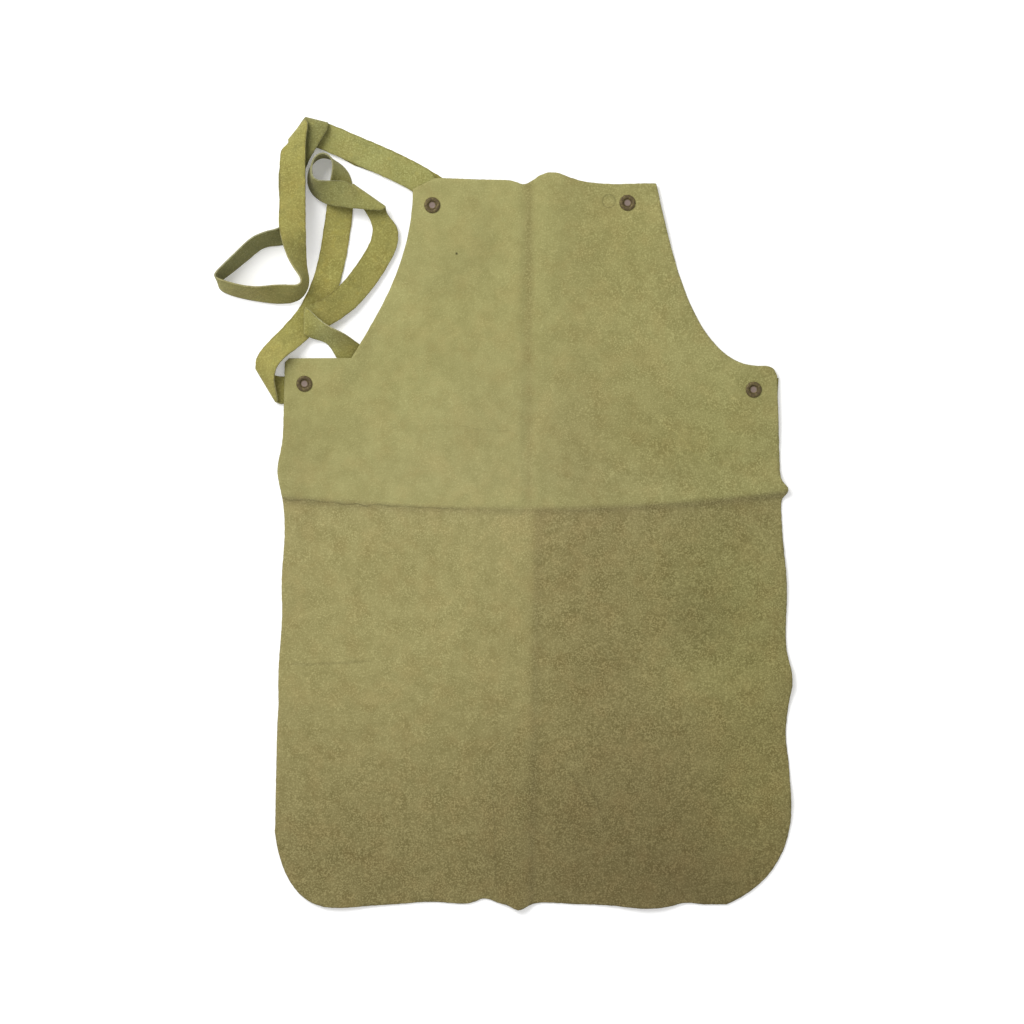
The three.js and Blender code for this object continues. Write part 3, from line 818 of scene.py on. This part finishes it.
# %% [markdown]
# Bend a flat strip along its route
#
# The strip starts as what it is before it is laid: a flat grid, one row of faces for each short step of the
# route. Every point then moves to its place. Its place across the strap and its tint are kept as
# attributes, so the material can follow the strip through its folds. Each line of points along the strap is
# relaxed a little, which softens its bends. Solidify gives the leather its thickness, with a second
# material on the cut edges, and a small Bevel takes the sharpness off them.

# %% Make a strap
STRAP_STEP = 3
STRAP_COLUMNS = 8
STRAP_FRAY, STRAP_FRAY_LENGTH, SIDES_APART = 0.5, 6, 40
RELAX_PASSES = 14
STRAP_NAP = 0.85
DULL_SIDE = (0.97, 1.03, 1.24)
EDGE_BEVEL, BEVEL_ANGLE = 0.35, 50


def stations_of(rungs):
    stations = [(0, 0.0)]
    for i in range(len(rungs) - 1):
        steps = max(2, round((rungs[i + 1].centre - rungs[i].centre).length / STRAP_STEP))
        stations += [(i, k / steps) for k in range(1, steps + 1)]
    return stations


def strap_tint(rung, following, t):
    tone = mix(rung.tone, following.tone, t)
    dull = mix(rung.dull, following.dull, t)
    return *(tone * mix(1, channel, dull) for channel in DULL_SIDE), STRAP_NAP


def relaxed(column):
    for _ in range(RELAX_PASSES):
        inner = [(a + 2 * b + c) / 4 for a, b, c in zip(column, column[1:], column[2:])]
        column = [column[0], *inner, column[-1]]
    return column


def lay_strap(name, route):
    rungs = rungs_of(route)
    stations = stations_of(rungs)
    centres = [rung.centre for rung in rungs]
    reaches = [rung.reach for rung in rungs]
    middles = [centripetal(centres, i, t) for i, t in stations]
    halves = [even(reaches, i, t) for i, t in stations]
    tints = [strap_tint(rungs[i], rungs[i + 1], t) for i, t in stations]
    travelled = [0.0]
    for before, after in zip(middles, middles[1:]):
        travelled.append(travelled[-1] + (after - before).length)

    strip = bmesh.new()
    bmesh.ops.create_grid(strip, x_segments=STRAP_COLUMNS, y_segments=len(stations) - 1, size=1)
    across_of = strip.verts.layers.float.new("across")
    tint_of = strip.verts.layers.float_color.new("tint")
    columns = []
    for column in range(STRAP_COLUMNS + 1):
        side = 2 * column / STRAP_COLUMNS - 1
        columns.append(relaxed([middle + half * side for middle, half in zip(middles, halves)]))
    for vert in strip.verts:
        side = vert.co.x
        column = round((side + 1) / 2 * STRAP_COLUMNS)
        row = round((vert.co.y + 1) / 2 * (len(stations) - 1))
        ragged = STRAP_FRAY * wobble(travelled[row], side * SIDES_APART, STRAP_FRAY_LENGTH) * side
        vert.co = columns[column][row] + halves[row].normalized() * ragged
        vert[across_of] = side
        vert[tint_of] = tints[row]
    strap = finished(name, strip)
    wall = strap.modifiers.new("leather", "SOLIDIFY")
    wall.thickness = LEATHER * MM
    wall.offset = 0
    wall.material_offset_rim = RIM_MATERIAL
    soft_edge = strap.modifiers.new("soft edge", "BEVEL")
    soft_edge.width = EDGE_BEVEL * MM
    soft_edge.segments = 2
    soft_edge.limit_method = "ANGLE"
    soft_edge.angle_limit = math.radians(BEVEL_ANGLE)
    print(name, "is", round(travelled[-1]), "mm long, in", len(stations), "steps")
    return strap, travelled[-1] * MM


neck_strap, neck_length = lay_strap("strap_neck", NECK_ROUTE)
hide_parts("neck_strap")
waist_strap, waist_length = lay_strap("strap_waist", WAIST_ROUTE)
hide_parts("waist_strap")

# %% [markdown]
# Tubular rivets
#
# Four rivets hold the strap ends. Each has a rolled brass ring on the show side, with a dished middle where
# the tube was set, and a flat head behind. It is a turned shape, so its half section is drawn once and spun
# round the axis.

# %% Half section of a rivet
RING_OUTER, RING_HEIGHT, RING_LOW = 9.5, 2.2, 0.7
DISH, DISH_DEPTH, DISH_CURVE, DISH_RISE = 4.8, 1.7, 2.6, 1
BACK, BACK_HEIGHT, BACK_ROUND = 8, 1.4, 0.4
SHANK = 3


def roll(middle_x, middle_z, radius_x, radius_z, start, end, steps):
    turns = [math.radians(mix(start, end, i / steps)) for i in range(steps + 1)]
    return [(middle_x + radius_x * math.cos(t), middle_z + radius_z * math.sin(t)) for t in turns]


def half_section(seat, back_top):
    crown = seat + RING_HEIGHT
    ring_x = (RING_OUTER + DISH) / 2
    ring_z = seat + RING_LOW
    back_low = back_top - BACK_HEIGHT
    points = [(0, back_low)]
    points += roll(BACK - BACK_ROUND, back_low + BACK_ROUND, BACK_ROUND, BACK_ROUND, -90, 0, 3)
    points += [(BACK, back_top), (SHANK, back_top), (SHANK, seat)]
    points += roll(ring_x, ring_z, RING_OUTER - ring_x, crown - ring_z, -30, 180, 14)
    points += roll(DISH - DISH_CURVE, crown - DISH_DEPTH + DISH_RISE, DISH_CURVE, DISH_RISE, 0, -90, 6)
    points += [(0, crown - DISH_DEPTH)]
    return points


# %% Spin the rivets
SPIN_STEPS = 64
RIVET_WELD = 0.01
RIVET_DENT, DENT_LENGTH = 0.06, 8


def make_rivet(rivet):
    bm = bmesh.new()
    back_top = rivet.strap_z - LEATHER / 2 - CLEAR
    seat = lie(rivet.x, rivet.y) + LEATHER
    section = half_section(seat, max(back_top, BACK_HEIGHT))
    verts = [bm.verts.new((x, 0, z)) for x, z in section]
    edges = [bm.edges.new(pair) for pair in zip(verts, verts[1:])]
    bmesh.ops.spin(
        bm,
        geom=verts + edges,
        axis=(0, 0, 1),
        cent=(0, 0, 0),
        angle=math.tau,
        steps=SPIN_STEPS,
        use_merge=True,
    )
    bmesh.ops.remove_doubles(bm, verts=bm.verts[:], dist=RIVET_WELD)
    bmesh.ops.recalc_face_normals(bm, faces=bm.faces[:])
    radius = bm.verts.layers.float.new("radius")
    for vert in bm.verts:
        vert[radius] = math.hypot(vert.co.x, vert.co.y) / RING_OUTER
        vert.co.z += RIVET_DENT * wobble(vert.co.x + rivet.x, vert.co.y, DENT_LENGTH)
    bmesh.ops.translate(bm, vec=(rivet.x, rivet.y, 0), verts=bm.verts[:])
    piece = finished("brass_" + rivet.node, bm)
    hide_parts(rivet.node)
    return piece


rivets = [make_rivet(rivet) for rivet in RIVETS]
print(len(rivets), "rivets of", len(rivets[0].data.polygons), "faces")

# %% [markdown]
# Shared effects for the leather
#
# Suede is a field of short fibres. Its colour is speckled at a millimetre or two, mottled at a few
# centimetres, and flecked with darker fibres. Panel, straps and cut edges all show it, so it is one node
# group that each material sets with its own two colours, where noise at several scales picks between them.
# It reads Object coordinates, which stay put in the frame's metres. A second group draws a line along a
# crease or wrinkle, for painted shade and painted highlight there, and a third a ring that was pressed in.

# %% Node helpers
def new_group(name, inputs, outputs):
    group = bpy.data.node_groups.new(name, "ShaderNodeTree")
    for socket, kind in inputs:
        group.interface.new_socket(socket, in_out="INPUT", socket_type="NodeSocket" + kind)
    for socket, kind in outputs:
        group.interface.new_socket(socket, in_out="OUTPUT", socket_type="NodeSocket" + kind)
    return group, group.nodes.new("NodeGroupInput"), group.nodes.new("NodeGroupOutput")


class Wires:
    """Adds nodes to a tree and wires them, in the order in which a reader would."""

    def __init__(self, tree):
        self.tree = tree

    def node(self, kind, **settings):
        node = self.tree.nodes.new("ShaderNode" + kind)
        for key, value in settings.items():
            setattr(node, key, value)
        return node

    def feed(self, socket, value):
        if isinstance(value, bpy.types.NodeSocket):
            self.tree.links.new(value, socket)
        elif value is not None:
            socket.default_value = value

    def math(self, operation, a, b=None, c=None, clamp=False):
        node = self.node("Math", operation=operation, use_clamp=clamp)
        for socket, value in zip(node.inputs, (a, b, c)):
            self.feed(socket, value)
        return node.outputs[0]

    def vector(self, operation, a, b=None, output="Vector"):
        node = self.node("VectorMath", operation=operation)
        for socket, value in zip(node.inputs, (a, b)):
            self.feed(socket, value)
        return node.outputs[output]

    def blend(self, factor, a, b, mode="MIX"):
        node = self.node("Mix", data_type="RGBA", blend_type=mode)
        for socket, value in zip((node.inputs[0], node.inputs[6], node.inputs[7]), (factor, a, b)):
            self.feed(socket, value)
        return node.outputs[2]

    def grain(self, place, scale, detail=2.0, roughness=0.55):
        node = self.node("TexNoise")
        self.feed(node.inputs["Vector"], place)
        node.inputs["Scale"].default_value = scale
        node.inputs["Detail"].default_value = detail
        node.inputs["Roughness"].default_value = roughness
        return node.outputs["Fac"]

    def spread(self, value, low, high, to_low=0.0, to_high=1.0):
        node = self.node("MapRange", interpolation_type="SMOOTHSTEP")
        for socket, given in zip(node.inputs, (value, low, high, to_low, to_high)):
            self.feed(socket, given)
        return node.outputs[0]

    def object_place(self):
        return self.node("TexCoord").outputs["Object"]


# %% The nap of suede
SPECKLE_SHARE, TUFT_SHARE, FINE_MEAN = 0.95, 0.15, 0.34
MOTTLE_SHARE, CLOUD_SHARE, PALE_SHARE = 0.2, 0.12, 0.365
TUFT_HEIGHT = 0.4
WARM_FIBRES = (1.025, 0.975, 0.96, 1)
DARK_FIBRES = (0.55, 0.52, 0.42, 1)


def make_nap():
    group, given, put = new_group(
        "suede nap",
        [("Tint", "Color"), ("Openness", "Float"), ("Pale", "Color"), ("Deep", "Color")],
        [("Color", "Color"), ("Height", "Float")],
    )
    w = Wires(group)
    place = w.object_place()
    speckle = w.spread(w.grain(place, 540, 2, 0.6), 0.42, 0.76)
    tufts = w.spread(w.grain(place, 230, 2), 0.32, 0.68)
    mottle = w.spread(w.grain(place, 55, 3), 0.3, 0.7)
    clouds = w.spread(w.grain(place, 9, 2), 0.3, 0.7)
    clumps = w.spread(w.grain(place, 48, 2), 0.35, 0.68, 0.7, 1.2)
    fine = w.math("ADD", w.math("MULTIPLY", speckle, SPECKLE_SHARE), w.math("MULTIPLY", tufts, TUFT_SHARE))
    contrast = w.math("MULTIPLY", clumps, given.outputs["Openness"])
    fine = w.math("MULTIPLY", w.math("SUBTRACT", fine, FINE_MEAN), contrast)
    broad = w.math("ADD", w.math("MULTIPLY", mottle, MOTTLE_SHARE), w.math("MULTIPLY", clouds, CLOUD_SHARE))
    share = w.math("ADD", w.math("ADD", fine, broad), PALE_SHARE)
    color = w.blend(share, given.outputs["Deep"], given.outputs["Pale"])
    warm = w.spread(w.grain(place, 30, 3, 0.6), 0.42, 0.68, 0.0, 0.8)
    color = w.blend(warm, color, WARM_FIBRES, "MULTIPLY")
    flecks = w.spread(w.grain(place, 380, 1), 0.68, 0.78, 0.0, 0.15)
    color = w.blend(flecks, color, DARK_FIBRES, "MULTIPLY")
    w.feed(put.inputs["Color"], w.blend(1.0, color, given.outputs["Tint"], "MULTIPLY"))
    w.feed(put.inputs["Height"], w.math("ADD", speckle, w.math("MULTIPLY", tufts, TUFT_HEIGHT)))
    return group


nap = make_nap()
print("node group:", nap.name)


# %% A line along a crease, for painted shade and highlight
WANDER, WANDER_SCALE = 8, 60
FADE_IN, FADE_OUT = 0.15, 0.8


def make_crease_shade_line():
    group, given, put = new_group(
        "painted crease line",
        [("From", "Vector"), ("To", "Vector"), ("Width", "Float")],
        [("Mask", "Float")],
    )
    w = Wires(group)
    drift = w.node("TexNoise")
    w.feed(drift.inputs["Vector"], w.object_place())
    drift.inputs["Scale"].default_value = WANDER_SCALE
    wander = w.vector("SCALE", w.vector("SUBTRACT", drift.outputs["Color"], (0.5, 0.5, 0.5)))
    wander.node.inputs["Scale"].default_value = WANDER * MM
    place = w.vector("MULTIPLY", w.vector("ADD", w.object_place(), wander), (1, 1, 0))
    run = w.vector("SUBTRACT", given.outputs["To"], given.outputs["From"])
    out = w.vector("SUBTRACT", place, given.outputs["From"])
    out_along_run = w.vector("DOT_PRODUCT", out, run, "Value")
    whole_run = w.vector("DOT_PRODUCT", run, run, "Value")
    share = w.math("DIVIDE", out_along_run, whole_run, clamp=True)
    along_run = w.vector("SCALE", run)
    w.feed(along_run.node.inputs["Scale"], share)
    distance = w.vector("LENGTH", w.vector("SUBTRACT", out, along_run), None, "Value")
    ends = w.math("MULTIPLY", w.spread(share, 0, FADE_IN), w.spread(share, 1, FADE_OUT))
    core = w.spread(w.math("DIVIDE", distance, given.outputs["Width"]), 1, 0)
    w.feed(put.inputs["Mask"], w.math("MULTIPLY", core, ends))
    return group


crease_shade_line = make_crease_shade_line()
print("node group:", crease_shade_line.name)


# %% A ring pressed into the leather
def make_pressed_ring():
    group, given, put = new_group(
        "pressed ring",
        [("Middle", "Vector"), ("Radius", "Float"), ("Width", "Float")],
        [("Mask", "Float")],
    )
    w = Wires(group)
    place = w.vector("MULTIPLY", w.object_place(), (1, 1, 0))
    radius = w.vector("DISTANCE", place, given.outputs["Middle"], "Value")
    off_ring = w.math("ABSOLUTE", w.math("SUBTRACT", radius, given.outputs["Radius"]))
    w.feed(put.inputs["Mask"], w.spread(w.math("DIVIDE", off_ring, given.outputs["Width"]), 1, 0))
    return group


pressed_ring = make_pressed_ring()
print("node group:", pressed_ring.name)

# %% [markdown]
# Finishes
#
# The panel's suede is matte, with a faint sheen where fibres catch the light. Along the creases and
# wrinkles left by folding and handling, the panel gets painted shade in dark lines and painted highlight in
# pale ones, each with a shallow groove in the bump. The straps are the same hide in a yellower dye, and
# every cut edge shows paler raw fibre. The rivets are brass gone brown, rubbed brighter in places, with a
# paler dish that is partly bare metal and partly painted reflection.


# %% Start a material
DULL_SPECULAR, SHEEN_ROUGHNESS = 0.15, 0.6
BUMP_STRENGTH = 0.8


def new_material(name, roughness, sheen=0.0):
    material = bpy.data.materials.new(name)
    material.use_nodes = True
    w = Wires(material.node_tree)
    shader = material.node_tree.nodes["Principled BSDF"]
    shader.inputs["Roughness"].default_value = roughness
    shader.inputs["Specular IOR Level"].default_value = DULL_SPECULAR
    shader.inputs["Sheen Weight"].default_value = sheen
    shader.inputs["Sheen Roughness"].default_value = SHEEN_ROUGHNESS
    return material, w, shader


def read(w, name):
    return w.node("Attribute", attribute_name=name).outputs["Fac"]


def use_nap(w, pale, deep):
    node = w.node("Group", node_tree=nap)
    tint = w.node("Attribute", attribute_name="tint")
    w.feed(node.inputs["Tint"], tint.outputs["Color"])
    w.feed(node.inputs["Openness"], tint.outputs["Alpha"])
    node.inputs["Pale"].default_value = pale
    node.inputs["Deep"].default_value = deep
    return node.outputs["Color"], node.outputs["Height"]


def raise_grain(w, shader, height, depth):
    bump = w.node("Bump")
    bump.inputs["Distance"].default_value = depth * MM
    bump.inputs["Strength"].default_value = BUMP_STRENGTH
    w.feed(bump.inputs["Height"], height)
    w.feed(shader.inputs["Normal"], bump.outputs["Normal"])


# %% Painted shade and highlight along creases, and pressed rings, on the panel
ShadeLine = namedtuple("ShadeLine", "x1 y1 x2 y2 width strength")
# Each row is a crease or wrinkle: a dark row is painted shade in it, a pale row a painted highlight along it,
# and each also cuts a shallow groove in the bump.
SHADE_LINES = [
    ShadeLine(-304, 483.6, -180, 473.8, 1.3, 0.26),
    ShadeLine(-226, 476.6, -50, 469, 1.3, 0.26),
    ShadeLine(-190, 479.5, -60, 474, 1.8, -0.1),
    ShadeLine(37, 466.5, 108, 470, 1.3, 0.14),
    ShadeLine(108, 470, 204, 478.4, 1.6, 0.08),
    ShadeLine(-86, 567.5, -11, 560.5, 1.1, 0.12),
    ShadeLine(-293, 285, -177, 288, 2.6, 0.16),
    ShadeLine(-38, 10, -46, 190, 2.4, 0.1),
    ShadeLine(45, 165, 80, 100, 2.2, 0.12),
    ShadeLine(62, 160, 92, 96, 2.0, 0.1),
    ShadeLine(144, 588, 227, 511, 1.6, -0.15),
    ShadeLine(152, 452, 152, 372, 7, -0.08),
]
Ring = namedtuple("Ring", "x y radius width strength")
RINGS = [
    Ring(95, 836, 7.6, 1.5, 0.3),
    Ring(-86, 773.5, 0, 2.4, 0.95),
]
RINGS += [Ring(rivet.x, rivet.y, 10.5, 4, -0.08) for rivet in RIVETS]
DARK_MARK_AND_SHADE, PALE_MARK_AND_HIGHLIGHT = (0.1, 0.09, 0.06, 1), (1.8, 1.8, 1.8, 1)


# For the crease lines this paints shade where they are dark and a highlight where they are pale; for the
# rings it is a pressed mark.
def mark_and_shade(w, color, mask, strength):
    mark = w.math("MULTIPLY", mask, abs(strength))
    shade = DARK_MARK_AND_SHADE if strength > 0 else PALE_MARK_AND_HIGHLIGHT
    return w.blend(mark, color, shade, "MULTIPLY"), mark


print(len(SHADE_LINES), "painted crease lines and", len(RINGS), "rings")

# %% Suede of the panel
PANEL_PALE = (0.405, 0.383, 0.156, 1)
PANEL_DEEP = (0.212, 0.194, 0.064, 1)
NAP_DEPTH = 0.25


def panel_suede():
    material, w, shader = new_material("suede of the panel", 0.95, 0.12)
    color, height = use_nap(w, PANEL_PALE, PANEL_DEEP)
    for score in SHADE_LINES:
        line = w.node("Group", node_tree=crease_shade_line)
        line.inputs["From"].default_value = in_frame(score.x1, score.y1)
        line.inputs["To"].default_value = in_frame(score.x2, score.y2)
        line.inputs["Width"].default_value = score.width * MM
        color, mark = mark_and_shade(w, color, line.outputs["Mask"], score.strength)
        height = w.math("SUBTRACT", height, mark)
    for ring in RINGS:
        press = w.node("Group", node_tree=pressed_ring)
        press.inputs["Middle"].default_value = in_frame(ring.x, ring.y)
        press.inputs["Radius"].default_value = ring.radius * MM
        press.inputs["Width"].default_value = ring.width * MM
        color, mark = mark_and_shade(w, color, press.outputs["Mask"], ring.strength)
    w.feed(shader.inputs["Base Color"], color)
    raise_grain(w, shader, height, NAP_DEPTH)
    return material


# %% Strap leather and cut edges
STRAP_PALE = (0.33, 0.307, 0.092, 1)
STRAP_DEEP = (0.18, 0.16, 0.036, 1)
EDGE_PALE = (0.38, 0.355, 0.17, 1)
EDGE_DEEP = (0.2, 0.18, 0.07, 1)
EDGE_DEPTH = 0.3
STAIN = (0.72, 0.74, 0.78, 1)
BLEACH = (1.16, 1.1, 0.86, 1)
DARKER_STRAP_EDGE = (0.74, 0.72, 0.68, 1)


def strap_leather():
    material, w, shader = new_material("strap leather", 0.92, 0.1)
    color, height = use_nap(w, STRAP_PALE, STRAP_DEEP)
    place = w.object_place()
    stains = w.spread(w.grain(place, 75, 3, 0.65), 0.48, 0.74, 0.0, 0.45)
    color = w.blend(stains, color, STAIN, "MULTIPLY")
    bleached = w.spread(w.grain(place, 110, 2), 0.55, 0.75, 0.0, 0.4)
    color = w.blend(bleached, color, BLEACH, "MULTIPLY")
    side = w.math("ABSOLUTE", read(w, "across"))
    # Both long edges of each strap are made darker in blotches.
    edge_darkening = w.math("MULTIPLY", w.spread(side, 0.84, 0.98), w.spread(w.grain(place, 160, 2), 0.35, 0.6))
    color = w.blend(edge_darkening, color, DARKER_STRAP_EDGE, "MULTIPLY")
    w.feed(shader.inputs["Base Color"], color)
    raise_grain(w, shader, height, NAP_DEPTH)
    return material


def cut_edge_leather():
    material, w, shader = new_material("raw cut edge", 0.95)
    color, height = use_nap(w, EDGE_PALE, EDGE_DEEP)
    w.feed(shader.inputs["Base Color"], color)
    raise_grain(w, shader, height, EDGE_DEPTH)
    return material


# %% Aged brass
BRASS_DARK = (0.085, 0.06, 0.027, 1)
BRASS_WORN = (0.145, 0.112, 0.038, 1)
DISH_METAL_AND_REFLECTION = (0.22, 0.165, 0.14, 1)
BRASS_DEPTH = 0.1


def aged_brass():
    material, w, shader = new_material("aged brass", 0.5)
    place = w.object_place()
    radius = read(w, "radius")
    patina = w.spread(w.grain(place, 420, 3), 0.4, 0.7)
    color = w.blend(patina, BRASS_DARK, BRASS_WORN)
    # The dish is painted a paler pinkish grey: partly bare metal, partly a painted reflection.
    in_dish = w.spread(radius, 0.44, 0.3)
    color = w.blend(in_dish, color, DISH_METAL_AND_REFLECTION)
    w.feed(shader.inputs["Base Color"], color)
    shader.inputs["Metallic"].default_value = 0.35
    shader.inputs["Specular IOR Level"].default_value = 0.4
    w.feed(shader.inputs["Roughness"], w.spread(patina, 0, 1, 0.7, 0.55))
    raise_grain(w, shader, w.grain(place, 900), BRASS_DEPTH)
    return material


# %% Floor
FLOOR_GREY, FLOOR_WHITE = (0.93, 0.93, 0.93, 1), (0.96, 0.96, 0.96, 1)
FLOOR_GLOW = 0.18


def pale_floor():
    material, w, shader = new_material("pale floor", 0.9)
    tint = w.spread(w.grain(w.object_place(), 1.5), 0.3, 0.7)
    w.feed(shader.inputs["Base Color"], w.blend(tint, FLOOR_GREY, FLOOR_WHITE))
    shader.inputs["Emission Color"].default_value = (1, 1, 1, 1)
    shader.inputs["Emission Strength"].default_value = FLOOR_GLOW
    return material


# %% Put the finishes on
suede, leather, edge, brass = panel_suede(), strap_leather(), cut_edge_leather(), aged_brass()
for piece in (panel, neck_strap, waist_strap):
    piece.data.materials.append(suede if piece is panel else leather)
    piece.data.materials.append(edge)
for piece in rivets:
    piece.data.materials.append(brass)
floor.data.materials.append(pale_floor())
print("materials:", [material.name for material in bpy.data.materials if material.users])
